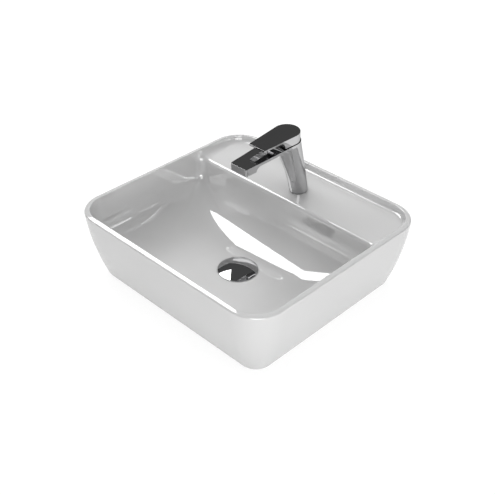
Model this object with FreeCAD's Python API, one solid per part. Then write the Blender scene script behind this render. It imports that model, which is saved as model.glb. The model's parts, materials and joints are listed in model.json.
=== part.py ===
import FreeCAD, Part
import math
import os

V = FreeCAD.Vector

# Basin outside: length units are millimetres, the origin is the middle of the foot on the counter
basin_width = 450.0
basin_depth = 410.0
basin_height = 135.0
outer_corner_top = 57.0
outer_corner_base = 29.0
side_draft = 0.066
side_belly = 0.0012
rim_width = 10.0
rim_round = 4.4
foot_round = 4.0
shell_thickness = 9.0
outer_sections = 6

# Tap ledge: a shelf behind the bowl that falls gently towards it
ledge_depth = 113.0
ledge_edge_drop = 16.5
ledge_slope = 2.6
ledge_edge_round = 6.0
ledge_back_cove = 6.5
ledge_corner_cove = 20.0
ledge_thickness = 11.0

# Bowl: drafted upper walls, then a cove that sweeps down to the flat round the drain
bowl_draft = 0.06
cove_top_drop = 38.0
floor_height = 22.0
side_fullness = 4.4
front_fullness = 3.4
rear_fullness = 2.0
corner_fullness = 0.94
corner_growth = 3.0
bowl_levels = (0.1, 0.22, 0.36, 0.5, 0.64, 0.76, 0.86, 0.93, 0.97, 0.99, 0.9995)

# Drain in the bowl floor
drain_y = -22.0
drain_hole_radius = 23.0
seat_radius = 35.0
seat_depth = 5.0
boss_radius = 37.0
boss_underside = 6.0

# Waste fitting: thread G1 1/4, shut by a push cap
waste_thread_radius = 20.955
waste_bore_radius = 17.5
waste_thread_end = -45.0
waste_tail_radius = 20.0
waste_tail_end = -75.0
flange_radius = 33.5
flange_thickness = 2.0
flange_lip = 2.5
flange_funnel = 5.5
flange_seal_thickness = 1.2
flange_seal_inner = 24.0
flange_seal_outer = 33.0
spider_top = -18.0
spider_height = 5.0
spider_rib_width = 4.0
spider_ribs = 3
spider_hub_radius = 6.0
cap_radius = 36.0
cap_gap = 0.4
cap_edge_height = 1.2
cap_rise = 6.0
cap_skin = 2.2
cap_boss_radius = 6.0
cap_boss_depth = 4.0
cap_seal_inner = 28.5
cap_seal_outer = 31.5
click_travel = 8.0
click_shank_radius = 3.45
click_housing_radius = 8.5
click_bore_radius = 6.2
click_housing_top = 12.0
click_bush_height = 3.0
plunger_shoulder_height = 3.5
plunger_stem_radius = 4.0
plunger_tip_radius = 3.0
spring_radius = 5.0
spring_wire_radius = 0.6
spring_coils = 4
spring_turn_steps = 14
spring_wire_sides = 6
gasket_height = 5.0
gasket_top_radius = 32.0
gasket_bottom_radius = 27.0
slip_washer_thickness = 1.8
slip_washer_radius = 31.0
backnut_flange_height = 3.0
backnut_height = 11.0
backnut_across_flats = 52.0

# Tap: heights are measured square to the ledge, from its surface at the tap hole
tap_setback = 71.0
tap_hole_radius = 13.0
tap_gasket_thickness = 1.2
tap_gasket_inner = 13.2
tap_gasket_outer = 16.0
column_base_radius = 16.8
column_middle_radius = 19.2
column_middle_y = -13.1
head_radius = 25.2
head_y = -31.5
spout_top = 118.3
spout_thickness = 5.1
spout_tip_y = -148.3
spout_tip_half_width = 18.2
spout_tip_thickness = 13.3
spout_tip_length = 22.5
spout_step_length = 11.0
spout_corner = 2.2
spout_edge_round = 0.35
channel_half_width = 11.0
channel_bottom = 114.4
channel_height = 1.6
channel_end_y = -53.0
outlet_radius = 1.6
outlet_entry_z = 105.2

# Hollow foot of the tap with the two hose inlets and the fixing stud
foot_recess_radius = 11.5
foot_recess_top = 15.0
inlet_radius = 3.5
inlet_x = 6.0
inlet_y = 5.0
inlet_depth = 12.0
duct_radius = 2.5
stud_radius = 3.0
stud_y = -7.0
stud_length = 78.0
horseshoe_radius = 21.0
horseshoe_slot_radius = 10.2
horseshoe_slot_y = 7.0
horseshoe_rubber_thickness = 3.0
horseshoe_plate_thickness = 2.0
fixing_nut_across_flats = 10.0
fixing_nut_height = 16.0

# Aerator in the spout tip
aerator_y = -136.0
aerator_bore_radius = 9.3
aerator_bore_top = 115.6
aerator_recess = 0.5
aerator_height = 7.8
aerator_wall = 1.6
aerator_grid_thickness = 1.6
aerator_hole_radius = 0.8
aerator_hole_pitch = 2.8
aerator_rings = 2
aerator_seal_thickness = 1.2
aerator_seal_width = 2.2

# Lever: a flat plate on a hub that tilts inside a cup in the tap head
lever_radius = 23.8
lever_front_y = -104.1
lever_front_half_width = 18.0
lever_top = 135.0
lever_plate = 3.0
lever_gap = 0.8
lever_corner = 1.6
lever_edge_round = 0.35
hub_front_y = -57.5
hub_front_run = 7.5
hub_front_radius = 14.0
hub_cavity_radius = 16.5
hub_cavity_top = 128.7
socket_side = 7.1
socket_top = 132.2
grub_radius = 1.5
grub_z = 130.7
grub_length = 8.0
plug_radius = 2.5
plug_depth = 3.0
cup_radius = 24.2
cup_taper = 0.25
cup_rear_depth = 7.4
cup_front_depth = 0.8

# Cartridge under the lever
chamber_floor = 96.5
chamber_radius = 12.5
nut_bore_radius = 14.0
nut_bore_floor = 109.5
cartridge_radius = 12.4
port_x = 5.0
port_y = 2.0
port_radius = 2.5
port_seal_width = 1.4
port_seal_thickness = 1.0
cartridge_base_thickness = 3.0
disc_thickness = 2.5
fixed_disc_radius = 11.0
moving_disc_radius = 8.5
moving_disc_offset = 1.85
carrier_height = 6.5
pocket_radius = 2.6
pocket_depth = 5.0
housing_inner_radius = 11.2
housing_top = 118.4
housing_lip = 1.1
housing_lip_radius = 8.3
outlet_window_half_width = 4.0
outlet_window_height = 5.0
rotor_bottom = 112.5
rotor_shoulder = 117.0
rotor_radius = 11.15
rotor_neck_radius = 8.0
rotor_top = 126.0
pivot_z = 123.4
pivot_pin_radius = 1.5
pivot_pin_length = 14.0
spindle_side = 5.0
spindle_head_side = 7.0
spindle_head_bottom = 128.0
spindle_top = 132.0
spindle_shaft_top = 114.0
spindle_shaft_radius = 1.6
spindle_ball_radius = 2.5
spindle_ball_z = 110.0
spindle_slot_front = 6.4
spindle_slot_rear = 3.6
retaining_nut_bottom = 110.0
retaining_nut_top = 120.0
retaining_nut_lip_radius = 8.7
retaining_nut_slot = 3.0

# Clearances shared by the fits
running = 0.03
slide = 0.1
overlap = 1.0

# Sizes that follow from the ones above
half_width = basin_width / 2
half_depth = basin_depth / 2
base_inset = side_draft * basin_height + side_belly * basin_height ** 2
ledge_edge_y = half_depth - ledge_depth
ledge_edge_z = basin_height - ledge_edge_drop
ledge_rise = math.tan(math.radians(ledge_slope))
join_z = basin_height - cove_top_drop
join_rear_y = ledge_edge_y - bowl_draft * (ledge_edge_z - join_z)
tap_y = half_depth - tap_setback
tap_z = ledge_edge_z + ledge_rise * (tap_y - ledge_edge_y)
tap_place = FreeCAD.Placement(V(0, tap_y, tap_z), FreeCAD.Rotation(V(1, 0, 0), ledge_slope))
seat_z = floor_height - seat_depth
flange_bottom = seat_z + flange_seal_thickness
flange_top = flange_bottom + flange_thickness
cap_bottom = floor_height + cap_gap
cap_shoulder = cap_bottom + cap_edge_height
cap_top = cap_shoulder + cap_rise
spout_under = spout_top - spout_thickness
tip_under = spout_top - spout_tip_thickness
hub_bottom = spout_top + lever_gap
plate_bottom = lever_top - lever_plate
cartridge_base_z = chamber_floor + port_seal_thickness
fixed_disc_z = cartridge_base_z + cartridge_base_thickness
moving_disc_z = fixed_disc_z + disc_thickness
carrier_z = moving_disc_z + disc_thickness
gasket_bottom = boss_underside - gasket_height
slip_washer_bottom = gasket_bottom - slip_washer_thickness
click_bore_floor = spider_top + plunger_shoulder_height
click_bush_bottom = click_housing_top - click_bush_height
plunger_shoulder_top = click_bush_bottom - click_travel - slide
plunger_shoulder_bottom = plunger_shoulder_top - plunger_shoulder_height


def rounded_rectangle(x_half, y_front, y_back, front_radius, back_radius, z):
    """Closed wire of four sides and four corner arcs at one height."""
    diagonal = math.sqrt(0.5)
    corners = (
        (x_half - front_radius, y_front + front_radius, front_radius, (0, -1), (1, 0)),
        (x_half - back_radius, y_back - back_radius, back_radius, (1, 0), (0, 1)),
        (back_radius - x_half, y_back - back_radius, back_radius, (0, 1), (-1, 0)),
        (front_radius - x_half, y_front + front_radius, front_radius, (-1, 0), (0, -1)),
    )
    arcs = []
    for cx, cy, radius, start, end in corners:
        middle = ((start[0] + end[0]) * diagonal, (start[1] + end[1]) * diagonal)
        points = [V(cx + radius * d[0], cy + radius * d[1], z) for d in (start, middle, end)]
        arcs.append(Part.Arc(*points).toShape())
    edges = []
    for before, after in zip(arcs[-1:] + arcs[:-1], arcs):
        edges.append(Part.LineSegment(before.Vertexes[-1].Point, after.Vertexes[0].Point).toShape())
        edges.append(after)
    return Part.Wire(edges)


def prism(points, direction):
    """Solid from a closed polygon of points, swept along a direction."""
    return Part.Face(Part.makePolygon(points + points[:1])).extrude(direction)


def revolved(profile, x=0.0, y=0.0):
    """Solid of revolution about the upright axis at x, y from (radius, height) points."""
    points = [V(x + r, y, z) for r, z in profile]
    face = Part.Face(Part.makePolygon(points + points[:1]))
    return face.revolve(V(x, y, 0), V(0, 0, 1), 360)


def cylinder(radius, bottom, top, x=0.0, y=0.0):
    return Part.makeCylinder(radius, top - bottom, V(x, y, bottom))


def tube(outer, inner, bottom, top, x=0.0, y=0.0):
    return cylinder(outer, bottom, top, x, y).cut(cylinder(inner, bottom - overlap, top + overlap, x, y))


def block(x_half, y0, y1, z0, z1):
    return Part.makeBox(2 * x_half, y1 - y0, z1 - z0, V(-x_half, y0, z0))


def hexagon(across_flats, bottom, top, x=0.0, y=0.0):
    corner = across_flats / math.sqrt(3)
    points = []
    for k in range(6):
        angle = math.radians(60 * k)
        points.append(V(x + corner * math.cos(angle), y + corner * math.sin(angle), bottom))
    return prism(points, V(0, 0, top - bottom))


def rod(radius, start, end):
    """Round bar between two points."""
    return Part.makeCylinder(radius, (end - start).Length, start, end - start)


def below_ledge(depth):
    """Everything under a plane parallel to the ledge and a given depth below its surface."""
    reach = basin_width
    slab = Part.makeBox(2 * reach, 2 * reach, reach, V(-reach, -reach, -reach - depth))
    slab.Placement = tap_place
    return slab


def outer_section(drop, skin=0.0):
    """Outline of the outer wall at a drop below the rim, moved inwards by skin."""
    inset = side_draft * drop + side_belly * drop ** 2
    radius = outer_corner_top + (outer_corner_base - outer_corner_top) * inset / base_inset
    inward = inset + skin
    return rounded_rectangle(
        half_width - inward, inward - half_depth, half_depth - inward,
        radius - skin, radius - skin, basin_height - drop)


def outer_body():
    drops = [basin_height * k / outer_sections for k in range(outer_sections + 1)]
    body = Part.makeLoft([outer_section(drop) for drop in drops], True, False)
    foot = [edge for edge in body.Edges if edge.BoundBox.ZMax < overlap]
    return body.makeFillet(foot_round, foot)


def tub_section(drop):
    inset = rim_width + bowl_draft * drop
    radius = outer_corner_top - inset
    return rounded_rectangle(
        half_width - inset, inset - half_depth, half_depth - inset, radius, radius, basin_height - drop)


def upper_hollow():
    """Space between the rim and the top of the bowl cove, with the tap ledge standing in it."""
    tub = Part.makeLoft([tub_section(cove_top_drop), tub_section(-overlap)], True, True)
    ledge_back_z = ledge_edge_z + ledge_rise * (half_depth - ledge_edge_y)
    side = (
        (ledge_edge_y, ledge_edge_z),
        (half_depth, ledge_back_z),
        (half_depth, join_z - overlap),
        (join_rear_y - bowl_draft * overlap, join_z - overlap),
    )
    shelf = prism([V(-half_width, y, z) for y, z in side], V(basin_width, 0, 0))
    hollow = tub.cut(shelf)
    lip = [edge for edge in hollow.Edges if edge.CenterOfMass.distanceToPoint(
        V(0, ledge_edge_y, ledge_edge_z)) < overlap]
    return cove_ledge(hollow.makeFillet(ledge_edge_round, lip))


def cove_ledge(hollow):
    """Cove the foot of the ledge, opening out to a wide corner where the bowl begins."""
    document = FreeCAD.newDocument()
    source = document.addObject("Part::Feature", "source")
    source.Shape = hollow
    coved = document.addObject("Part::Fillet", "coved")
    coved.Base = source
    radii = []
    for number, edge in enumerate(hollow.Edges, 1):
        box = edge.BoundBox
        along_wall = box.XMin > 0 or box.XMax < 0
        at_back = box.YMin > half_depth - 2 * rim_width
        upright = box.ZMax > basin_height
        level = box.ZLength < running and box.ZMax < ledge_edge_z - ledge_edge_round
        if upright or level or box.YMax < join_rear_y - running or not (along_wall or at_back):
            continue
        start, end = [edge.valueAt(t).y for t in (edge.FirstParameter, edge.LastParameter)]
        side_foot = along_wall and not at_back and abs(end - start) > 2 * rim_width
        corner = box.YMax > half_depth - 2 * rim_width
        if corner:
            radii.append((number, ledge_back_cove, ledge_back_cove))
        elif side_foot and start > end:
            radii.append((number, ledge_back_cove, ledge_corner_cove))
        elif side_foot:
            radii.append((number, ledge_corner_cove, ledge_back_cove))
        else:
            radii.append((number, ledge_corner_cove, ledge_corner_cove))
    coved.Edges = radii
    document.recompute()
    return coved.Shape.copy()


def bowl_section(level, skin=0.0):
    """Outline of the bowl between the top of the cove (level 0) and the floor (level 1)."""
    drop = (join_z - floor_height) * level
    draft = bowl_draft * drop * (1 - level)
    openness = 1 - level ** 2
    wall = half_width - rim_width - bowl_draft * cove_top_drop
    front = rim_width + bowl_draft * cove_top_drop - half_depth
    side_run = wall - cap_radius
    front_run = drain_y - cap_radius - front
    rear_run = join_rear_y - drain_y - cap_radius
    x_half = cap_radius + side_run * openness ** (1 / side_fullness) - draft
    y_front = drain_y - cap_radius - front_run * openness ** (1 / front_fullness) + draft
    y_back = drain_y + cap_radius + rear_run * openness ** (1 / rear_fullness) - draft
    short_half = min(x_half, (y_back - y_front) / 2)
    tub_corner = outer_corner_top - rim_width - bowl_draft * cove_top_drop
    full = (join_rear_y - front) / 2
    radii = []
    for first in (tub_corner, ledge_corner_cove):
        share = first / full + (corner_fullness - first / full) * level ** corner_growth
        radii.append(share * short_half + skin)
    z = join_z - drop - skin * level
    return rounded_rectangle(x_half + skin, y_front - skin, y_back + skin, radii[0], radii[1], z)


def bowl_hollow(upper):
    """Lower bowl, carried on from the open bottom of the upper hollow."""
    bottom = min(upper.Faces, key=lambda face: face.CenterOfMass.z)
    sections = [bottom.OuterWire] + [bowl_section(level) for level in bowl_levels]
    return Part.makeLoft(sections, True, False)


def underside_hollow():
    """Open space between the outer shell and the back of the bowl, down to the foot."""
    drops = [basin_height * k / outer_sections for k in range(outer_sections + 1)]
    sections = [outer_section(drop, shell_thickness) for drop in drops]
    inside = Part.makeLoft(sections, True, False).common(below_ledge(ledge_thickness))
    top = bowl_section(0.0, shell_thickness)
    top.translate(V(0, 0, basin_height - join_z))
    levels = (0.0,) + bowl_levels
    bowl_back = Part.makeLoft([bowl_section(level, shell_thickness) for level in levels], True, False)
    bowl_walls = Part.makeLoft([bowl_section(0.0, shell_thickness), top], True, True)
    boss = cylinder(boss_radius, boss_underside, floor_height, 0, drain_y)
    return inside.cut(bowl_back).cut(bowl_walls).cut(boss)


def basin_body():
    upper = upper_hollow()
    body = outer_body().cut(upper).cut(bowl_hollow(upper)).cut(underside_hollow())
    body = body.cut(cylinder(seat_radius, seat_z, floor_height + overlap, 0, drain_y))
    body = body.cut(cylinder(drain_hole_radius, -overlap, floor_height, 0, drain_y))
    tap_hole = cylinder(tap_hole_radius, -2 * ledge_thickness, ledge_thickness)
    tap_hole.Placement = tap_place
    body = body.cut(tap_hole)
    rim = [edge for edge in body.Edges if edge.BoundBox.ZMin > basin_height - running]
    return body.makeFillet(rim_round, rim)


def tangent_bar(front_y, front_half_width, corner, radius, z):
    """Flat outline of a tapering bar with a round back about the head axis and eased front corners."""
    reach = math.hypot(front_half_width, head_y - front_y)
    toward = math.atan2(front_y - head_y, front_half_width) + math.acos(radius / reach)
    touch = V(radius * math.cos(toward), head_y + radius * math.sin(toward), z)
    mirror = V(-touch.x, touch.y, z)
    tip = V(front_half_width, front_y, z)
    along = (touch - tip).normalize()
    inward = V(-1, 0, 0)
    side_end = tip + along * corner
    front_end = tip + inward * corner
    half_angle = along.getAngle(inward) / 2
    bend = tip + (along + inward).normalize() * (corner * (1 - math.sin(half_angle)) / math.cos(half_angle))
    edges = []
    for sign in (1, -1):
        flip = [V(sign * p.x, p.y, z) for p in (front_end, bend, side_end)]
        edges.append(Part.Arc(*flip).toShape())
        edges.append(Part.LineSegment(flip[2], V(sign * touch.x, touch.y, z)).toShape())
    edges.append(Part.Arc(touch, V(0, head_y + radius, z), mirror).toShape())
    edges.append(Part.LineSegment(front_end, V(-front_end.x, front_end.y, z)).toShape())
    return Part.Face(Part.Wire(Part.__sortEdges__(edges)))


def circle_wire(radius, y, z):
    return Part.Wire(Part.makeCircle(radius, V(0, y, z)))


def tap_column():
    sections = [
        circle_wire(column_base_radius, 0, tap_gasket_thickness),
        circle_wire(column_middle_radius, column_middle_y, (tap_gasket_thickness + spout_under) / 2),
        circle_wire(head_radius, head_y, spout_under),
    ]
    return Part.makeLoft(sections, True, False)


def tap_spout():
    """Head slab and spout in one, thicker at the tip where the aerator sits."""
    outline = tangent_bar(spout_tip_y, spout_tip_half_width, spout_corner, head_radius, tip_under)
    bar = outline.extrude(V(0, 0, spout_tip_thickness))
    step_start = spout_tip_y + spout_tip_length
    step_end = step_start + spout_step_length
    rise = spout_under - tip_under
    step_radius = (spout_step_length ** 2 + rise ** 2) / (2 * rise)
    lean = math.asin(spout_step_length / step_radius) / 2
    bulge = V(-head_radius - overlap, step_end - step_radius * math.sin(lean),
              spout_under - step_radius * (1 - math.cos(lean)))
    start = V(bulge.x, step_start, tip_under)
    end = V(bulge.x, step_end, spout_under)
    back_top = V(bulge.x, head_radius, spout_under)
    back_low = V(bulge.x, head_radius, tip_under - overlap)
    front_low = V(bulge.x, step_start, tip_under - overlap)
    edges = [Part.Arc(start, bulge, end).toShape()]
    for a, b in ((end, back_top), (back_top, back_low), (back_low, front_low), (front_low, start)):
        edges.append(Part.LineSegment(a, b).toShape())
    relief = Part.Face(Part.Wire(edges)).extrude(V(2 * (head_radius + overlap), 0, 0))
    spout = bar.cut(relief)
    top = [edge for edge in spout.Edges if edge.BoundBox.ZMin > spout_top - running]
    return spout.makeFillet(spout_edge_round, top)


def head_cup():
    """Dish in the tap head that the back of the lever hub dips into when the lever is lifted."""
    low_radius = cup_radius - cup_taper * cup_rear_depth
    height = cup_rear_depth + overlap
    cone = Part.makeCone(low_radius, cup_radius + cup_taper * overlap, height,
                         V(0, head_y, spout_top - cup_rear_depth))
    fall = (cup_rear_depth - cup_front_depth) / (2 * cup_radius)
    front = head_y - cup_radius
    back = head_y + cup_radius
    side = (
        (front, spout_top - cup_front_depth),
        (back, spout_top - cup_front_depth - fall * (back - front)),
        (back, spout_top + height),
        (front, spout_top + height),
    )
    return cone.common(prism([V(-cup_radius, y, z) for y, z in side], V(2 * cup_radius, 0, 0)))


def tap_body():
    body = tap_column().fuse(tap_spout()).removeSplitter()
    body = body.cut(head_cup())
    body = body.cut(cylinder(chamber_radius, chamber_floor, spout_top, 0, head_y))
    body = body.cut(cylinder(nut_bore_radius, nut_bore_floor, spout_top, 0, head_y))
    body = body.cut(cylinder(foot_recess_radius, 0, foot_recess_top))
    inlet_top = foot_recess_top + inlet_depth
    for sign in (1, -1):
        body = body.cut(cylinder(inlet_radius, 0, inlet_top, sign * inlet_x, inlet_y))
        duct_start = V(sign * inlet_x, inlet_y, inlet_top - duct_radius)
        duct_end = V(sign * port_x, head_y + port_y, chamber_floor + overlap)
        body = body.cut(rod(duct_radius, duct_start, duct_end))
    body = body.cut(cylinder(stud_radius + running, 0, inlet_top, 0, stud_y))
    body = body.cut(cylinder(aerator_bore_radius, tip_under - overlap, aerator_bore_top, 0, aerator_y))
    channel_top = channel_bottom + channel_height
    body = body.cut(block(channel_half_width, aerator_y, channel_end_y, channel_bottom, channel_top))
    outlet_start = V(0, head_y - chamber_radius + overlap, outlet_entry_z)
    outlet_end = V(0, channel_end_y - outlet_radius, channel_bottom + channel_height / 2)
    return body.cut(rod(outlet_radius, outlet_start, outlet_end))


def lever_outline(z):
    return tangent_bar(lever_front_y, lever_front_half_width, lever_corner, lever_radius, z)


def tap_lever():
    lever = lever_outline(hub_bottom).extrude(V(0, 0, lever_top - hub_bottom))
    side = -lever_radius - overlap
    start = V(side, hub_front_y, hub_bottom)
    end = V(side, hub_front_y - hub_front_run, plate_bottom)
    chord = end - start
    sag = hub_front_radius - math.sqrt(hub_front_radius ** 2 - (chord.Length / 2) ** 2)
    bulge = (start + end) * 0.5 + V(0, chord.z, -chord.y).normalize() * sag
    front_top = V(side, lever_front_y - overlap, plate_bottom)
    front_low = V(side, lever_front_y - overlap, hub_bottom - overlap)
    low = V(side, hub_front_y, hub_bottom - overlap)
    edges = [Part.Arc(start, bulge, end).toShape()]
    for a, b in ((end, front_top), (front_top, front_low), (front_low, low), (low, start)):
        edges.append(Part.LineSegment(a, b).toShape())
    relief = Part.Face(Part.Wire(edges)).extrude(V(-2 * side, 0, 0))
    lever = lever.cut(relief)
    top = [edge for edge in lever.Edges if edge.BoundBox.ZMin > lever_top - running]
    lever = lever.makeFillet(lever_edge_round, top)
    lever = lever.cut(cylinder(hub_cavity_radius, hub_bottom - overlap, hub_cavity_top, 0, head_y))
    half = socket_side / 2
    lever = lever.cut(block(half, head_y - half, head_y + half, hub_cavity_top - overlap, socket_top))
    back = head_y + lever_radius
    lever = lever.cut(rod(grub_radius + running, V(0, head_y, grub_z), V(0, back + overlap, grub_z)))
    plug_start = V(0, back - plug_depth, grub_z)
    return lever.cut(rod(plug_radius + running, plug_start, V(0, back + overlap, grub_z)))


def lever_grub_screw():
    start = V(0, head_y + spindle_head_side / 2, grub_z)
    screw = rod(grub_radius, start, start + V(0, grub_length, 0))
    socket = hexagon(grub_radius, 0, grub_length / 2)
    socket.rotate(V(0, 0, 0), V(1, 0, 0), -90)
    socket.translate(start + V(0, grub_length / 2, 0))
    return screw.cut(socket)


def lever_index_plug():
    back = head_y + lever_radius
    plug = rod(plug_radius, V(0, back - plug_depth, grub_z), V(0, back, grub_z))
    return plug.common(cylinder(lever_radius, hub_bottom, lever_top, 0, head_y))


def cartridge_ports(bottom, top):
    """Pair of upright port holes through a cartridge piece."""
    left = cylinder(port_radius, bottom, top, -port_x, head_y + port_y)
    return left.fuse(cylinder(port_radius, bottom, top, port_x, head_y + port_y))


def cartridge_seals():
    rings = []
    for sign in (-1, 1):
        outer = port_radius + port_seal_width
        x = sign * port_x
        rings.append(tube(outer, port_radius, chamber_floor, cartridge_base_z, x, head_y + port_y))
    return Part.makeCompound(rings)


def cartridge_base():
    plate = cylinder(cartridge_radius, cartridge_base_z, fixed_disc_z, 0, head_y)
    return plate.cut(cartridge_ports(chamber_floor, moving_disc_z))


def cartridge_fixed_disc():
    disc = cylinder(fixed_disc_radius, fixed_disc_z, moving_disc_z, 0, head_y)
    return disc.cut(cartridge_ports(chamber_floor, carrier_z))


def cartridge_moving_disc():
    return cylinder(moving_disc_radius, moving_disc_z, carrier_z, 0, head_y + moving_disc_offset)


def cartridge_disc_carrier():
    top = carrier_z + carrier_height
    carrier = cylinder(moving_disc_radius, carrier_z, top, 0, head_y + moving_disc_offset)
    return carrier.cut(cylinder(pocket_radius, top - pocket_depth, top + overlap, 0, head_y))


def cartridge_housing():
    housing = cylinder(cartridge_radius, fixed_disc_z, housing_top, 0, head_y)
    ceiling = housing_top - housing_lip
    housing = housing.cut(cylinder(housing_inner_radius, fixed_disc_z - overlap, ceiling, 0, head_y))
    housing = housing.cut(cylinder(housing_lip_radius, fixed_disc_z, housing_top + overlap, 0, head_y))
    window_bottom = outlet_entry_z - outlet_window_height / 2
    window = block(outlet_window_half_width, head_y - chamber_radius - overlap, head_y - moving_disc_radius,
                   window_bottom, window_bottom + outlet_window_height)
    return housing.cut(window)


def cartridge_rotor():
    rotor = cylinder(rotor_radius, rotor_bottom, rotor_shoulder, 0, head_y)
    rotor = rotor.fuse(cylinder(rotor_neck_radius, rotor_shoulder, rotor_top, 0, head_y))
    half = spindle_side / 2 + slide
    slot = block(half, head_y - spindle_slot_front, head_y + spindle_slot_rear,
                 rotor_bottom - overlap, rotor_top + overlap)
    reach = V(rotor_neck_radius + overlap, 0, 0)
    centre = V(0, head_y, pivot_z)
    return rotor.cut(slot).cut(rod(pivot_pin_radius + running, centre - reach, centre + reach))


def cartridge_pivot_pin():
    reach = V(pivot_pin_length / 2, 0, 0)
    centre = V(0, head_y, pivot_z)
    return rod(pivot_pin_radius, centre - reach, centre + reach)


def cartridge_spindle():
    """Lever stem: square head in the lever socket, pivot eye, and a ball in the carrier pocket."""
    half = spindle_side / 2
    stem = block(half, head_y - half, head_y + half, spindle_shaft_top, spindle_head_bottom)
    head_half = spindle_head_side / 2
    head = block(head_half, head_y - head_half, head_y + head_half, spindle_head_bottom, spindle_top)
    stem = stem.fuse(head)
    stem = stem.fuse(cylinder(spindle_shaft_radius, spindle_ball_z, spindle_shaft_top, 0, head_y))
    stem = stem.fuse(Part.makeSphere(spindle_ball_radius, V(0, head_y, spindle_ball_z)))
    reach = V(spindle_side, 0, 0)
    centre = V(0, head_y, pivot_z)
    return stem.cut(rod(pivot_pin_radius + running, centre - reach, centre + reach))


def cartridge_retaining_nut():
    above = retaining_nut_top + overlap
    below = retaining_nut_bottom - overlap
    nut = cylinder(nut_bore_radius - slide, retaining_nut_bottom, retaining_nut_top, 0, head_y)
    nut = nut.cut(cylinder(cartridge_radius + slide, below, housing_top, 0, head_y))
    nut = nut.cut(cylinder(retaining_nut_lip_radius, housing_top - overlap, above, 0, head_y))
    half = retaining_nut_slot / 2
    slot = block(nut_bore_radius, head_y - half, head_y + half, housing_top + slide, above)
    return nut.cut(slot)


def aerator_housing():
    bottom = tip_under + aerator_recess
    radius = aerator_bore_radius - slide
    return tube(radius, radius - aerator_wall, bottom, bottom + aerator_height, 0, aerator_y)


def aerator_grid():
    bottom = tip_under + aerator_recess
    radius = aerator_bore_radius - slide - aerator_wall - running
    top = bottom + aerator_grid_thickness
    grid = cylinder(radius, bottom, top, 0, aerator_y)
    holes = [cylinder(aerator_hole_radius, bottom - overlap, top + overlap, 0, aerator_y)]
    for ring in range(1, aerator_rings + 1):
        for k in range(6 * ring):
            angle = math.radians(60 * k / ring)
            x = ring * aerator_hole_pitch * math.cos(angle)
            y = aerator_y + ring * aerator_hole_pitch * math.sin(angle)
            holes.append(cylinder(aerator_hole_radius, bottom - overlap, top + overlap, x, y))
    return grid.cut(Part.makeCompound(holes))


def aerator_seal():
    bottom = tip_under + aerator_recess + aerator_height
    radius = aerator_bore_radius - slide
    return tube(radius, radius - aerator_seal_width, bottom, bottom + aerator_seal_thickness, 0, aerator_y)


def tap_base_gasket():
    return tube(tap_gasket_outer, tap_gasket_inner, 0, tap_gasket_thickness)


def fixing_stud():
    top = foot_recess_top + inlet_depth - overlap
    return cylinder(stud_radius, top - stud_length, top, 0, stud_y)


def horseshoe(bottom, top):
    """Clamp washer open at the back for the hoses, with a hole at the front for the stud."""
    plate = cylinder(horseshoe_radius, bottom, top)
    plate = plate.cut(cylinder(horseshoe_slot_radius, bottom, top, 0, horseshoe_slot_y))
    plate = plate.cut(block(horseshoe_slot_radius, horseshoe_slot_y, horseshoe_radius, bottom, top))
    return plate.cut(cylinder(stud_radius + slide, bottom, top, 0, stud_y))


def fixing_rubber_washer():
    return horseshoe(-ledge_thickness - horseshoe_rubber_thickness, -ledge_thickness)


def fixing_clamp_plate():
    top = -ledge_thickness - horseshoe_rubber_thickness
    return horseshoe(top - horseshoe_plate_thickness, top)


def fixing_nut():
    top = -ledge_thickness - horseshoe_rubber_thickness - horseshoe_plate_thickness
    bottom = top - fixing_nut_height
    nut = hexagon(fixing_nut_across_flats, bottom, top, 0, stud_y)
    return nut.cut(cylinder(stud_radius + running, bottom - overlap, top + overlap, 0, stud_y))


def waste_body():
    """Flanged tail with a spider across its bore that carries the push mechanism."""
    thread = waste_thread_radius
    body = revolved((
        (waste_bore_radius, waste_tail_end),
        (waste_tail_radius, waste_tail_end),
        (waste_tail_radius, waste_thread_end),
        (thread, waste_thread_end),
        (thread, flange_bottom),
        (flange_radius, flange_bottom),
        (flange_radius, flange_top),
        (flange_radius - flange_lip, flange_top),
        (waste_bore_radius, flange_top - flange_funnel),
    ), 0, drain_y)
    bottom = spider_top - spider_height
    body = body.fuse(cylinder(spider_hub_radius, bottom, spider_top, 0, drain_y))
    for k in range(spider_ribs):
        rib = Part.makeBox(waste_bore_radius + overlap, spider_rib_width, spider_height,
                           V(0, -spider_rib_width / 2, bottom))
        rib.rotate(V(0, 0, 0), V(0, 0, 1), 90 + 360 * k / spider_ribs)
        rib.translate(V(0, drain_y, 0))
        body = body.fuse(rib)
    hole = cylinder(click_shank_radius + running, bottom - overlap, spider_top + overlap, 0, drain_y)
    return body.cut(hole)


def waste_flange_seal():
    return tube(flange_seal_outer, flange_seal_inner, seat_z, flange_bottom, 0, drain_y)


def dome_arc(radius, reach, centre_z):
    """Arc of a dome over the drain, from its reach at the side to the crown."""
    points = []
    for r in (reach, reach / 2, 0.0):
        points.append(V(r, drain_y, centre_z + math.sqrt(radius ** 2 - r ** 2)))
    return Part.Arc(*points).toShape()


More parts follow.
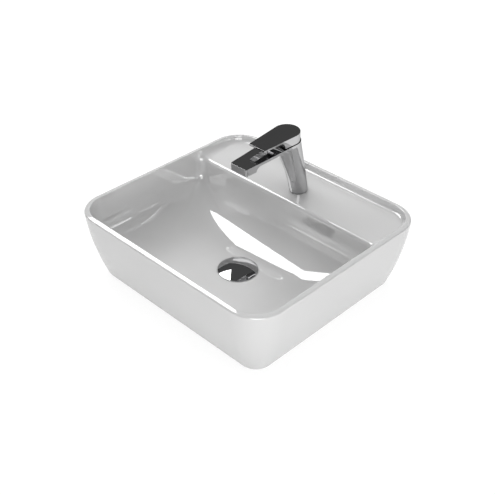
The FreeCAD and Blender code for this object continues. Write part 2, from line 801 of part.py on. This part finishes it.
def waste_cap():
    """Low chrome dome with a rolled edge, hollow beneath, and a threaded boss for the plunger."""
    sphere_radius = (cap_radius ** 2 + cap_rise ** 2) / (2 * cap_rise)
    centre_z = cap_top - sphere_radius
    inner_radius = sphere_radius - cap_skin
    inner_reach = cap_radius - cap_skin
    inner_edge_z = centre_z + math.sqrt(inner_radius ** 2 - inner_reach ** 2)
    outer = dome_arc(sphere_radius, cap_radius, centre_z)
    inner = dome_arc(inner_radius, inner_reach, centre_z)
    corners = [outer.Vertexes[-1].Point, inner.Vertexes[-1].Point]
    corners += [V(inner_reach, drain_y, inner_edge_z), V(inner_reach, drain_y, cap_bottom)]
    corners += [V(cap_radius, drain_y, cap_bottom), V(cap_radius, drain_y, cap_shoulder)]
    edges = [outer, inner]
    edges.append(Part.LineSegment(corners[0], corners[1]).toShape())
    for a, b in zip(corners[2:5], corners[3:6]):
        if (a - b).Length > running:
            edges.append(Part.LineSegment(a, b).toShape())
    face = Part.Face(Part.Wire(Part.__sortEdges__(edges)))
    cap = face.revolve(V(0, drain_y, 0), V(0, 0, 1), 360)
    inner_top = centre_z + inner_radius
    boss = cylinder(cap_boss_radius, inner_top - cap_boss_depth, inner_top + running, 0, drain_y)
    ring = tube(cap_seal_outer + cap_skin, cap_seal_inner - cap_skin, cap_bottom, inner_top, 0, drain_y)
    groove = tube(cap_seal_outer + running, cap_seal_inner - running, 0, cap_shoulder, 0, drain_y)
    ball = Part.makeSphere(sphere_radius - running, V(0, drain_y, centre_z))
    cap = cap.fuse(boss).fuse(ring.common(ball)).removeSplitter().cut(groove)
    tip_hole = cylinder(plunger_tip_radius + running, 0, inner_top, 0, drain_y)
    return cap.cut(tip_hole)


def waste_cap_seal():
    return tube(cap_seal_outer, cap_seal_inner, flange_top, cap_shoulder, 0, drain_y)


def click_housing():
    housing = tube(click_housing_radius, click_bore_radius, spider_top, click_housing_top, 0, drain_y)
    housing = housing.fuse(cylinder(click_housing_radius, spider_top, click_bore_floor, 0, drain_y))
    bottom = spider_top - spider_height
    return housing.fuse(cylinder(click_shank_radius, bottom, spider_top, 0, drain_y)).removeSplitter()


def click_guide_bush():
    return tube(click_bore_radius - running, plunger_stem_radius + slide,
                click_bush_bottom, click_housing_top, 0, drain_y)


def click_plunger():
    boss_bottom = cap_top - cap_skin - cap_boss_depth
    plunger = cylinder(click_bore_radius - slide, plunger_shoulder_bottom, plunger_shoulder_top, 0, drain_y)
    plunger = plunger.fuse(cylinder(plunger_stem_radius, plunger_shoulder_top, boss_bottom, 0, drain_y))
    return plunger.fuse(cylinder(plunger_tip_radius, boss_bottom, cap_top - cap_skin - overlap, 0, drain_y))


def click_spring():
    """Coil spring standing on the floor of the mechanism, under the plunger shoulder."""
    bottom = click_bore_floor + spring_wire_radius
    height = plunger_shoulder_bottom - spring_wire_radius - bottom
    steps = spring_coils * spring_turn_steps
    sections = []
    for k in range(steps + 1):
        turn = 2 * math.pi * k / spring_turn_steps
        corners = []
        for side in range(spring_wire_sides):
            angle = 2 * math.pi * side / spring_wire_sides
            r = spring_radius + spring_wire_radius * math.cos(angle)
            z = bottom + height * k / steps + spring_wire_radius * math.sin(angle)
            corners.append(V(r * math.cos(turn), drain_y + r * math.sin(turn), z))
        sections.append(Part.makePolygon(corners + corners[:1]))
    return Part.makeLoft(sections, True, True)


def waste_lower_gasket():
    profile = (
        (waste_thread_radius + slide, gasket_bottom),
        (gasket_bottom_radius, gasket_bottom),
        (gasket_top_radius, boss_underside),
        (waste_thread_radius + slide, boss_underside),
    )
    return revolved(profile, 0, drain_y)


def waste_slip_washer():
    bore = waste_thread_radius + slide
    return tube(slip_washer_radius, bore, slip_washer_bottom, gasket_bottom, 0, drain_y)


def waste_backnut():
    bottom = slip_washer_bottom - backnut_height
    flange_under = slip_washer_bottom - backnut_flange_height
    nut = cylinder(slip_washer_radius, flange_under, slip_washer_bottom, 0, drain_y)
    nut = nut.fuse(hexagon(backnut_across_flats, bottom, flange_under, 0, drain_y))
    bore = waste_thread_radius + running
    return nut.cut(cylinder(bore, bottom - overlap, slip_washer_bottom + overlap, 0, drain_y))


basin_nodes = (
    basin_body, waste_body, waste_flange_seal, waste_cap, waste_cap_seal, click_housing, click_guide_bush,
    click_plunger, click_spring, waste_lower_gasket, waste_slip_washer, waste_backnut,
)
tap_nodes = (
    tap_body, tap_base_gasket, fixing_stud, fixing_rubber_washer, fixing_clamp_plate, fixing_nut,
    tap_lever, lever_grub_screw, lever_index_plug, cartridge_housing, cartridge_base, cartridge_seals,
    cartridge_fixed_disc, cartridge_moving_disc, cartridge_disc_carrier, cartridge_rotor,
    cartridge_pivot_pin, cartridge_spindle, cartridge_retaining_nut,
    aerator_housing, aerator_grid, aerator_seal,
)

os.makedirs("parts", exist_ok=True)
for node in basin_nodes + tap_nodes:
    shape = node()
    if node in tap_nodes:
        shape.Placement = tap_place.multiply(shape.Placement)
    shape.exportStep(os.path.join("parts", node.__name__ + ".step"))
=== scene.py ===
import json
import math

import bpy
import numpy as np
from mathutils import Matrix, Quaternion, Vector
from mathutils.bvhtree import BVHTree


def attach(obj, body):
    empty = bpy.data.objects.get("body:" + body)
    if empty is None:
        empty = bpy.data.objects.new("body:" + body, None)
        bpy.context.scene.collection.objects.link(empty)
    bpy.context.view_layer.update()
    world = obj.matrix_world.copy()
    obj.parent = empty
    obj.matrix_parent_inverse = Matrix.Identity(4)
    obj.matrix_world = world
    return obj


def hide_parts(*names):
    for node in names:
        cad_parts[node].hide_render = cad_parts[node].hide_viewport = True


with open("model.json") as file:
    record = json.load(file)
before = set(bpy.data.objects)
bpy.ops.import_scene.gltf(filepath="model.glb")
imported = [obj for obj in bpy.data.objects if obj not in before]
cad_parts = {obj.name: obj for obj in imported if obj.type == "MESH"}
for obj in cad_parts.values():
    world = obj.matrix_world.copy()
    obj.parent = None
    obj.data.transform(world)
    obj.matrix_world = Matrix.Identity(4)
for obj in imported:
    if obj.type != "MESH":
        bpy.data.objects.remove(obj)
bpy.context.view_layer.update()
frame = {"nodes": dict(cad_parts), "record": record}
scene = bpy.context.scene

# Basin sizes in millimetres, as in the solid apart from the rim's top, which falls outwards here
MM = 0.001
HALF_WIDTH, HALF_DEPTH, HEIGHT = 225.0, 205.0, 135.0
CORNER_TOP, CORNER_BASE = 57.0, 29.0
SIDE_DRAFT, SIDE_BELLY, FOOT_ROUND = 0.066, 0.0012, 4.0
RIM_WIDTH, RIM_SLOPE, RIM_BOTTOM = 10.0, math.radians(12), 124.0
RIM_INNER_ROUND, RIM_OUTER_ROUND = 2.0, 3.0
LEDGE_Y, LEDGE_Z, LEDGE_SLOPE = 92.0, 118.5, math.radians(2.6)
LEDGE_ROUND, BACK_COVE, CORNER_COVE = 6.0, 6.5, 20.0
COVE_NARROW_Y, COVE_WIDE_Y = 178.0, 95.0
BOWL_DRAFT, JOIN_Z, FLOOR_Z = 0.06, 97.0, 22.0
FULLNESS = {"side": 4.4, "front": 3.4, "rear": 2.0}
CORNER_SHARE, CORNER_GROWTH, LAST_LEVEL = 0.94, 3.0, 0.9995
DRAIN_Y, CAP_RADIUS, SEAT_RADIUS, SEAT_DEPTH = -22.0, 36.0, 35.0, 5.0
TAP_Y, TAP_HOLE = 134.0, 13.0
JOIN_INSET = RIM_WIDTH + BOWL_DRAFT * (HEIGHT - JOIN_Z)
JOIN_REAR = LEDGE_Y - BOWL_DRAFT * (LEDGE_Z - JOIN_Z)
JOIN_FRONT = JOIN_INSET - HALF_DEPTH
BASE_INSET = SIDE_DRAFT * HEIGHT + SIDE_BELLY * HEIGHT ** 2
FLAT_FRONT, FLAT_BACK = DRAIN_Y - CAP_RADIUS, DRAIN_Y + CAP_RADIUS

# Glaze mesh: spokes about the drain, rows of points from the drain's seat to the foot
SPOKES, SEAT_ROWS, BOWL_ROWS, UPPER_ROWS = 512, 7, 80, 100
ANGLE_SAMPLES, LEVEL_SAMPLES = 200001, 40001
SPOKE_LIMIT, HALVINGS = 600.0, 48
TRACE_STEP, TRACE_STEPS, TRACE_FIXES, TRACE_FIX_LIMIT = 0.4, 1400, 3, 0.6
BEND_WEIGHT, BEND_LIMIT, BEND_SPREAD = 12.0, 0.4, 9
FOOT_REACHED, FACING_DOWN, PROBE, TINY = 0.02, -0.9, 0.01, 1e-6
COVERED_WITHIN, COVERED_FACING, SHARP_EDGE = 1.2, 0.8, math.radians(35)

# Camera fitted to the basin's outline in the photo, in metres and degrees
CAMERA_PLACE, CAMERA_DIP, CAMERA_LENS, CAMERA_SENSOR = (0.88194, -0.88557, 0.96087), 35.82, 63.47, 36.0
VIEW_TURN = math.radians(44.81)


# Basin glaze
def rectangle(x, y, half, front, back, front_r, back_r):
    """Signed distance in plan to a rectangle with rounded corners."""
    middle, half_y = (front + back) / 2, (back - front) / 2
    r = np.where(y < middle, front_r, back_r)
    qx, qy = np.abs(x) - half + r, np.abs(y - middle) - half_y + r
    return np.minimum(np.maximum(qx, qy), 0) + np.hypot(np.maximum(qx, 0), np.maximum(qy, 0)) - r


def meet_round(a, b, r):
    """Both of two regions, with the edge between them rounded."""
    return np.minimum(-r, np.maximum(a, b)) + np.hypot(np.maximum(r + a, 0), np.maximum(r + b, 0))


def join_round(a, b, r):
    """Either of two regions, with the corner between them rounded."""
    return np.maximum(r, np.minimum(a, b)) - np.hypot(np.maximum(r - a, 0), np.maximum(r - b, 0))


def outside(x, y, z):
    """Below zero inside the basin's outer form, with its sloping rim and rounded foot."""
    drop = HEIGHT - z
    inset = SIDE_DRAFT * drop + SIDE_BELLY * drop ** 2
    corner = CORNER_TOP + (CORNER_BASE - CORNER_TOP) * inset / BASE_INSET
    wall = rectangle(x, y, HALF_WIDTH - inset, inset - HALF_DEPTH, HALF_DEPTH - inset, corner, corner)
    past_crest = wall + RIM_WIDTH - RIM_INNER_ROUND
    top = (z - HEIGHT) * math.cos(RIM_SLOPE) + past_crest * math.sin(RIM_SLOPE)
    return meet_round(meet_round(wall, top, RIM_OUTER_ROUND), -z, FOOT_ROUND)


def upper_cavity(x, y, z):
    """Below zero in the space over the bowl's cove: drafted walls, tap ledge and the cove at its foot."""
    inset = RIM_WIDTH + BOWL_DRAFT * (HEIGHT - z)
    corner = CORNER_TOP - inset
    tub = rectangle(x, y, HALF_WIDTH - inset, inset - HALF_DEPTH, HALF_DEPTH - inset, corner, corner)
    above = -(z - LEDGE_Z - math.tan(LEDGE_SLOPE) * (y - LEDGE_Y)) * math.cos(LEDGE_SLOPE)
    ahead = y - LEDGE_Y + BOWL_DRAFT * (LEDGE_Z - z)
    room = join_round(above, ahead, LEDGE_ROUND)
    widening = np.clip((COVE_NARROW_Y - y) / (COVE_NARROW_Y - COVE_WIDE_Y), 0, 1)
    cove = BACK_COVE + (CORNER_COVE - BACK_COVE) * widening
    return np.maximum(meet_round(tub, room, cove), JOIN_Z - z)


def skin(x, y, z):
    """Below zero inside the glazed shell, from the top of the bowl's cove outwards."""
    return meet_round(outside(x, y, z), -upper_cavity(x, y, z), RIM_INNER_ROUND)


def bowl(x, y, level):
    """Signed distance in plan to the bowl's outline between the top of the cove (0) and its floor (1)."""
    draft = BOWL_DRAFT * (JOIN_Z - FLOOR_Z) * level * (1 - level)
    openness = 1 - level ** 2
    side_run = HALF_WIDTH - JOIN_INSET - CAP_RADIUS
    half = CAP_RADIUS + side_run * openness ** (1 / FULLNESS["side"]) - draft
    front = FLAT_FRONT - (FLAT_FRONT - JOIN_FRONT) * openness ** (1 / FULLNESS["front"]) + draft
    back = FLAT_BACK + (JOIN_REAR - FLAT_BACK) * openness ** (1 / FULLNESS["rear"]) - draft
    short = np.minimum(half, (back - front) / 2)
    radii = []
    for first in (CORNER_TOP - JOIN_INSET, CORNER_COVE):
        share = first / ((JOIN_REAR - JOIN_FRONT) / 2)
        radii.append((share + (CORNER_SHARE - share) * level ** CORNER_GROWTH) * short)
    return rectangle(x, y, half, front, back, *radii)


def bowl_height(level):
    return JOIN_Z - (JOIN_Z - FLOOR_Z) * level


def running_length(u, v):
    """Length along a line of points, from its start to each point."""
    return np.concatenate([[0], np.cumsum(np.hypot(np.diff(u), np.diff(v)))])


def reach(plan, c, s):
    """Distance from the drain's axis to the edge of a shape in plan, along each spoke."""
    low, high = np.zeros_like(c), np.full_like(c, SPOKE_LIMIT)
    for _ in range(HALVINGS):
        middle = (low + high) / 2
        out = plan(middle * c, DRAIN_Y + middle * s) > 0
        high, low = np.where(out, middle, high), np.where(out, low, middle)
    return (low + high) / 2


def bowl_reach(level, c, s):
    return reach(lambda x, y: bowl(x, y, level), c, s)


def spoke_angles():
    """Angles about the drain whose spokes cross the middle of the rim at even steps."""
    inset = RIM_WIDTH / 2
    half_x, half_y, corner = HALF_WIDTH - inset, HALF_DEPTH - inset, CORNER_TOP - inset
    theta = np.linspace(-math.pi, math.pi, ANGLE_SAMPLES)
    c, s = np.cos(theta), np.sin(theta)
    r = reach(lambda x, y: rectangle(x, y, half_x, -half_y, half_y, corner, corner), c, s)
    length = running_length(r * c, r * s)
    return np.interp(np.arange(SPOKES) * length[-1] / SPOKES, length, theta)


def bowl_levels():
    """Levels down the bowl that leave even gaps along its front wall."""
    level = np.sin(np.linspace(0, math.pi / 2, LEVEL_SAMPLES)) * LAST_LEVEL
    run = (FLAT_FRONT - JOIN_FRONT) * (1 - level ** 2) ** (1 / FULLNESS["front"])
    length = running_length(run, bowl_height(level))
    return np.interp(np.linspace(0, length[-1], BOWL_ROWS), length, level)


def trace(c, s):
    """Follow the skin on every spoke, from the top of the cove over ledge and rim and down to the foot."""
    def value(r, z):
        return skin(r * c, DRAIN_Y + r * s, z)

    def slope(r, z):
        gr = (value(r + PROBE, z) - value(r - PROBE, z)) / (2 * PROBE)
        gz = (value(r, z + PROBE) - value(r, z - PROBE)) / (2 * PROBE)
        size = np.maximum(np.hypot(gr, gz), TINY)
        return gr / size, gz / size, size

    r, z = bowl_reach(0.0, c, s), np.full_like(c, JOIN_Z + TRACE_STEP)
    rows, done = [], np.zeros(c.shape, bool)
    for _ in range(TRACE_STEPS):
        for _ in range(TRACE_FIXES):
            gr, gz, size = slope(r, z)
            off = np.clip(value(r, z) / size, -TRACE_FIX_LIMIT, TRACE_FIX_LIMIT)
            r, z = np.where(done, r, r - off * gr), np.where(done, z, z - off * gz)
        rows.append((r.copy(), z.copy()))
        done |= (z < FOOT_REACHED) & (gz < FACING_DOWN)
        if done.all():
            break
        gr, gz, _ = slope(r, z)
        r, z = np.where(done, r, r + TRACE_STEP * gz), np.where(done, z, z - TRACE_STEP * gr)
    return np.array([a for a, _ in rows]), np.array([b for _, b in rows])


def even_out(r, z):
    """Points along each traced line, closer together where it bends."""
    seg = np.hypot(np.diff(r, axis=0), np.diff(z, axis=0))
    angle = np.unwrap(np.arctan2(np.diff(z, axis=0), np.diff(r, axis=0)), axis=0)
    still = seg < TINY
    turn = np.zeros_like(seg)
    turn[1:] = np.abs(np.diff(angle, axis=0))
    turn[still] = 0
    weight = seg + BEND_WEIGHT * np.minimum(turn, BEND_LIMIT)
    kernel = np.ones(BEND_SPREAD) / BEND_SPREAD
    weight = np.apply_along_axis(lambda v: np.convolve(v, kernel, "same"), 0, weight)
    weight[still] = 0
    total = np.vstack([np.zeros(SPOKES), np.cumsum(weight, axis=0)])
    share = np.linspace(0, 1, UPPER_ROWS)
    new_r, new_z = np.empty((UPPER_ROWS, SPOKES)), np.empty((UPPER_ROWS, SPOKES))
    for k in range(SPOKES):
        at = share * total[-1, k]
        new_r[:, k] = np.interp(at, total[:, k], r[:, k])
        new_z[:, k] = np.interp(at, total[:, k], z[:, k])
    return new_r, new_z


def mesh_object(name, verts, faces):
    mesh = bpy.data.meshes.new(name)
    mesh.from_pydata(verts, [], faces)
    mesh.polygons.foreach_set("use_smooth", [True] * len(mesh.polygons))
    mesh.update()
    obj = bpy.data.objects.new(name, mesh)
    scene.collection.objects.link(obj)
    return obj


def glaze_rows(c, s):
    """Distance from the drain's axis and height of each row's points, from the seat's wall to the foot."""
    ring = np.ones(SPOKES)
    floor = bowl_height(LAST_LEVEL)
    floor_run = bowl_reach(LAST_LEVEL, c, s) - SEAT_RADIUS
    rows = [(SEAT_RADIUS * ring, (floor - SEAT_DEPTH) * ring)]
    for k in range(SEAT_ROWS):
        rows.append((SEAT_RADIUS + floor_run * k / SEAT_ROWS, floor * ring))
    for level in bowl_levels()[::-1]:
        rows.append((bowl_reach(level, c, s), bowl_height(level) * ring))
    r, z = even_out(*trace(c, s))
    rows += [(r[k], z[k]) for k in range(1, len(r))]
    return np.array([a for a, _ in rows]), np.array([b for _, b in rows])


def glazed_skin():
    """One smooth surface: drain seat, bowl, ledge, rim, outside and foot edge, open at the tap's hole."""
    theta = spoke_angles()
    c, s = np.cos(theta), np.sin(theta)
    r, z = glaze_rows(c, s)
    x, y = r * c, DRAIN_Y + r * s
    verts = np.stack([x, y, z], -1).reshape(-1, 3) * MM
    in_hole = (np.hypot(x, y - TAP_Y) < TAP_HOLE) & (z > LEDGE_Z)
    faces = []
    for k in range(len(r) - 1):
        for j in range(SPOKES):
            n = (j + 1) % SPOKES
            if in_hole[k, j] and in_hole[k, n] and in_hole[k + 1, j] and in_hole[k + 1, n]:
                continue
            faces.append((k * SPOKES + j, k * SPOKES + n, (k + 1) * SPOKES + n, (k + 1) * SPOKES + j))
    used, numbers = np.unique(faces, return_inverse=True)
    return mesh_object("basin_glaze", verts[used].tolist(), numbers.reshape(-1, 4).tolist())


def hidden_side(glaze):
    """Unglazed foot, hollow underside and hole walls: the solid's faces that the glaze doesn't cover."""
    tree = BVHTree.FromObject(glaze, bpy.context.evaluated_depsgraph_get())
    mesh = frame["nodes"]["basin_body"].data
    verts, faces, index = [], [], {}
    for polygon in mesh.polygons:
        spot, normal, _, _ = tree.find_nearest(polygon.center, COVERED_WITHIN * MM)
        covered = spot is not None and abs(normal.dot(polygon.normal)) > COVERED_FACING
        if covered or polygon.center.z > RIM_BOTTOM * MM:
            continue
        face = []
        for v in polygon.vertices:
            co = mesh.vertices[v].co
            key = (round(co.x, 6), round(co.y, 6), round(co.z, 6))
            if key not in index:
                index[key] = len(verts)
                verts.append(tuple(co))
            face.append(index[key])
        if len(set(face)) > 2:
            faces.append(face)
    obj = mesh_object("basin_underside", verts, faces)
    obj.data.set_sharp_from_angle(angle=SHARP_EDGE)
    return obj


# Materials
ROUGHNESS_FINENESS, RELIEF_FINENESS, RELIEF_STRENGTH = 6, 12, 0.4


def node_material(name):
    mat = bpy.data.materials.new(name)
    mat.use_nodes = True
    tree = mat.node_tree
    return mat, tree, tree.nodes["Principled BSDF"]


def noise(tree, scale, detail, low=0.0, high=1.0):
    """Soft noise in object space, mapped between two values."""
    where = tree.nodes.new("ShaderNodeTexCoord")
    tex = tree.nodes.new("ShaderNodeTexNoise")
    tex.inputs["Scale"].default_value = scale
    tex.inputs["Detail"].default_value = detail
    tree.links.new(where.outputs["Object"], tex.inputs["Vector"])
    ramp = tree.nodes.new("ShaderNodeMapRange")
    ramp.inputs["To Min"].default_value = low
    ramp.inputs["To Max"].default_value = high
    tree.links.new(tex.outputs["Fac"], ramp.inputs["Value"])
    return ramp.outputs["Result"]


def tint(tree, shader, fac, dark, light):
    """Base colour that wanders between two colours."""
    mix = tree.nodes.new("ShaderNodeMix")
    mix.data_type = "RGBA"
    mix.inputs["A"].default_value = (*dark, 1)
    mix.inputs["B"].default_value = (*light, 1)
    tree.links.new(fac, mix.inputs["Factor"])
    tree.links.new(mix.outputs["Result"], shader.inputs["Base Color"])


def bump(tree, shader, height, strength, distance):
    node = tree.nodes.new("ShaderNodeBump")
    node.inputs["Strength"].default_value = strength
    node.inputs["Distance"].default_value = distance
    tree.links.new(height, node.inputs["Height"])
    tree.links.new(node.outputs["Normal"], shader.inputs["Normal"])


def glaze_material():
    mat, tree, shader = node_material("white_glaze")
    tint(tree, shader, noise(tree, 9.0, 3.0), (0.58, 0.58, 0.58), (0.6, 0.6, 0.6))
    tree.links.new(noise(tree, 60.0, 2.0, 0.0, 0.012), shader.inputs["Roughness"])
    shader.inputs["IOR"].default_value = 2.5
    return mat


def chrome_material():
    mat, tree, shader = node_material("polished_chrome")
    tint(tree, shader, noise(tree, 25.0, 2.0), (0.53, 0.53, 0.535), (0.56, 0.56, 0.565))
    tree.links.new(noise(tree, 400.0, 2.0, 0.004, 0.022), shader.inputs["Roughness"])
    shader.inputs["Specular Tint"].default_value = (0.55, 0.55, 0.55, 1)
    shader.inputs["Metallic"].default_value = 1.0
    return mat


def plain_material(name, dark, light, roughness, scale, metallic=0.0, depth=0.0):
    """Moulded, turned or rubber surface with its own grain, whose relief is a depth in metres."""
    mat, tree, shader = node_material(name)
    tint(tree, shader, noise(tree, scale, 4.0), dark, light)
    tree.links.new(noise(tree, scale * ROUGHNESS_FINENESS, 3.0, *roughness), shader.inputs["Roughness"])
    shader.inputs["Metallic"].default_value = metallic
    if depth:
        bump(tree, shader, noise(tree, scale * RELIEF_FINENESS, 2.0), RELIEF_STRENGTH, depth)
    return mat


def greys(*levels):
    """Neutral colours of the given levels."""
    return [(level, level, level) for level in levels]


materials = {
    "glaze": glaze_material(),
    "chrome": chrome_material(),
    "brass": plain_material(
        "turned_brass", (0.55, 0.4, 0.18), (0.68, 0.52, 0.26), (0.22, 0.4), 60, metallic=1.0, depth=0.00003),
    "steel": plain_material(
        "plated_steel", (0.5, 0.5, 0.49), (0.62, 0.62, 0.61), (0.25, 0.42), 60, metallic=1.0, depth=0.00003),
    "stainless": plain_material("spring_wire", *greys(0.5, 0.6), (0.18, 0.3), 120, metallic=1.0),
    "rubber": plain_material("black_rubber", *greys(0.012, 0.03), (0.6, 0.85), 90, depth=0.00008),
    "white_plastic": plain_material(
        "white_plastic", (0.7, 0.7, 0.67), (0.8, 0.8, 0.77), (0.35, 0.5), 70, depth=0.00004),
    "grey_plastic": plain_material(
        "grey_plastic", (0.22, 0.22, 0.23), (0.3, 0.3, 0.31), (0.25, 0.4), 70, depth=0.00004),
    "disc_ceramic": plain_material(
        "lapped_ceramic", (0.75, 0.73, 0.68), (0.85, 0.83, 0.78), (0.3, 0.45), 80),
}
bisque = plain_material(
    "unglazed_ceramic", (0.72, 0.71, 0.68), (0.82, 0.81, 0.78), (0.6, 0.85), 40, depth=0.0001)

# Dressing: the glaze and the bare underside stand for the ceramic node, the others keep their meshes
glaze = glazed_skin()
underside = hidden_side(glaze)
glaze.data.materials.append(materials["glaze"])
underside.data.materials.append(bisque)
for piece in (glaze, underside):
    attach(piece, "basin")
    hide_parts("basin_body")
slots = {p["node"]: p["material_slot"] for p in frame["record"]["subparts"]}
for name, node in frame["nodes"].items():
    if name != "basin_body":
        node.material_slots[0].material = materials[slots[name]]


# Studio
def card(name, place, target, size, power, roll=0.0):
    """Soft rectangular light aimed at a point and turned about its own axis, in metres and watts."""
    light = bpy.data.lights.new(name, "AREA")
    light.shape = "RECTANGLE"
    light.size, light.size_y = size
    light.energy = power
    obj = bpy.data.objects.new(name, light)
    scene.collection.objects.link(obj)
    obj.location = place
    aim = (Vector(target) - Vector(place)).to_track_quat("-Z", "Y")
    obj.rotation_euler = (aim @ Quaternion((0, 0, 1), roll)).to_euler()
    obj.visible_camera = False
    return obj


def seen_rays(tree):
    """One where a ray comes from the camera, or is a mirror or clear reflection of it."""
    path = tree.nodes.new("ShaderNodeLightPath")
    total = path.outputs["Is Camera Ray"]
    for other in ("Is Glossy Ray", "Is Transmission Ray"):
        node = tree.nodes.new("ShaderNodeMath")
        node.operation = "MAXIMUM"
        tree.links.new(total, node.inputs[0])
        tree.links.new(path.outputs[other], node.inputs[1])
        total = node.outputs["Value"]
    return total


def floor_material():
    """Pale matte floor that glows white where it is seen and keeps a faint shadow."""
    mat = bpy.data.materials.new("pale_floor")
    mat.use_nodes = True
    tree = mat.node_tree
    tree.nodes.clear()
    out = tree.nodes.new("ShaderNodeOutputMaterial")
    matte = tree.nodes.new("ShaderNodeBsdfDiffuse")
    matte.inputs["Color"].default_value = (0.8, 0.8, 0.8, 1)
    shadow = tree.nodes.new("ShaderNodeBsdfDiffuse")
    shadow.inputs["Color"].default_value = (0.14, 0.14, 0.14, 1)
    glow = tree.nodes.new("ShaderNodeEmission")
    glow.inputs["Strength"].default_value = 0.9
    white = tree.nodes.new("ShaderNodeAddShader")
    mix = tree.nodes.new("ShaderNodeMixShader")
    tree.links.new(shadow.outputs[0], white.inputs[0])
    tree.links.new(glow.outputs[0], white.inputs[1])
    tree.links.new(seen_rays(tree), mix.inputs[0])
    tree.links.new(matte.outputs[0], mix.inputs[1])
    tree.links.new(white.outputs[0], mix.inputs[2])
    tree.links.new(mix.outputs[0], out.inputs["Surface"])
    return mat


def floor_object():
    """Large pale sheet, finely divided so that it isn't a bare plane, level with the counter."""
    size, cells = 12.0, 24
    line = np.linspace(-size / 2, size / 2, cells + 1)
    verts = [(x, y, 0.0) for y in line for x in line]
    faces = []
    for j in range(cells):
        for i in range(cells):
            a = j * (cells + 1) + i
            faces.append((a, a + 1, a + cells + 2, a + cells + 1))
    obj = mesh_object("floor", verts, faces)
    obj.data.materials.append(floor_material())


def world_light(stops):
    """White studio walls that give way to a dark ceiling: (height of direction, brightness) stops."""
    world = bpy.data.worlds.new("studio")
    scene.world = world
    world.use_nodes = True
    tree = world.node_tree
    back = tree.nodes["Background"]
    back.inputs["Color"].default_value = (1, 1, 1, 1)
    where = tree.nodes.new("ShaderNodeTexCoord")
    split = tree.nodes.new("ShaderNodeSeparateXYZ")
    tree.links.new(where.outputs["Generated"], split.inputs["Vector"])
    ramp = tree.nodes.new("ShaderNodeValToRGB")
    elements = ramp.color_ramp.elements
    while len(elements) < len(stops):
        elements.new(0.5)
    for element, (height, value) in zip(elements, stops):
        element.position = height
        element.color = (value, value, value, 1)
    tree.links.new(split.outputs["Z"], ramp.inputs["Fac"])
    path = tree.nodes.new("ShaderNodeLightPath")
    seen = tree.nodes.new("ShaderNodeMix")
    seen.inputs["B"].default_value = 1.0
    tree.links.new(path.outputs["Is Camera Ray"], seen.inputs["Factor"])
    tree.links.new(ramp.outputs["Color"], seen.inputs["A"])
    tree.links.new(seen.outputs["Result"], back.inputs["Strength"])


def in_view(right, forward, height):
    """Point given along the camera's right and forward directions in plan, from the basin's middle."""
    c, s = math.cos(VIEW_TURN), math.sin(VIEW_TURN)
    return (right * c - forward * s, right * s + forward * c, height)


# Lamps by place, target, size and watts: those with fill in their name aren't mirrored in the object.
# The softbox hangs level and square to the camera, between these edges in the camera's directions.
SOFTBOX_LEFT, SOFTBOX_RIGHT, SOFTBOX_NEAR, SOFTBOX_FAR, SOFTBOX_HEIGHT = -2.3, -0.46, 0.56, 1.9, 2.0
SOFTBOX_SIZE = (SOFTBOX_RIGHT - SOFTBOX_LEFT, SOFTBOX_FAR - SOFTBOX_NEAR)
SOFTBOX_MIDDLE = ((SOFTBOX_LEFT + SOFTBOX_RIGHT) / 2, (SOFTBOX_NEAR + SOFTBOX_FAR) / 2)
SOFTBOX = (in_view(*SOFTBOX_MIDDLE, SOFTBOX_HEIGHT), in_view(*SOFTBOX_MIDDLE, 0.0), SOFTBOX_SIZE)
MIDDLE = (0, 0, 0.1)
LIGHTS = {
    "softbox": (*SOFTBOX, 30.0),
    "softbox_fill": (*SOFTBOX, 14.0),
    "panel_fill": ((-1.1, 1.4, 1.1), MIDDLE, (0.9, 0.8), 28.0),
    "right_fill": ((1.9, 0.4, 1.6), MIDDLE, (1.0, 0.8), 7.0),
    "over_fill": ((0.2, -0.2, 2.3), MIDDLE, (2.4, 2.4), 35.0),
    "corner_fill": ((0.62, -0.62, 0.16), (0.2, -0.2, 0.06), (0.25, 0.25), 0.6),
    "key": ((1.4, -1.5, 0.6), MIDDLE, (1.0, 1.0), 5.5),
    "low_key": ((1.65, -1.45, 0.28), MIDDLE, (1.4, 0.5), 9.5),
    "low_right": ((1.9, 0.35, 0.28), MIDDLE, (1.4, 0.5), 4.0),
}
WALLS_TO_CEILING = ((0.05, 0.12), (0.3, 0.11), (0.45, 0.094))
floor_object()
world_light(WALLS_TO_CEILING)
for name, values in LIGHTS.items():
    lamp = card(name, *values, roll=VIEW_TURN if "softbox" in name else 0.0)
    lamp.visible_glossy = "fill" not in name

# Camera
camera = bpy.data.cameras.new("camera")
camera.sensor_width = CAMERA_SENSOR
camera.lens = CAMERA_LENS
view = bpy.data.objects.new("camera", camera)
scene.collection.objects.link(view)
view.location = CAMERA_PLACE
view.rotation_euler = (math.radians(90 - CAMERA_DIP), 0, VIEW_TURN)
scene.camera = view
scene.view_settings.view_transform = "Standard"
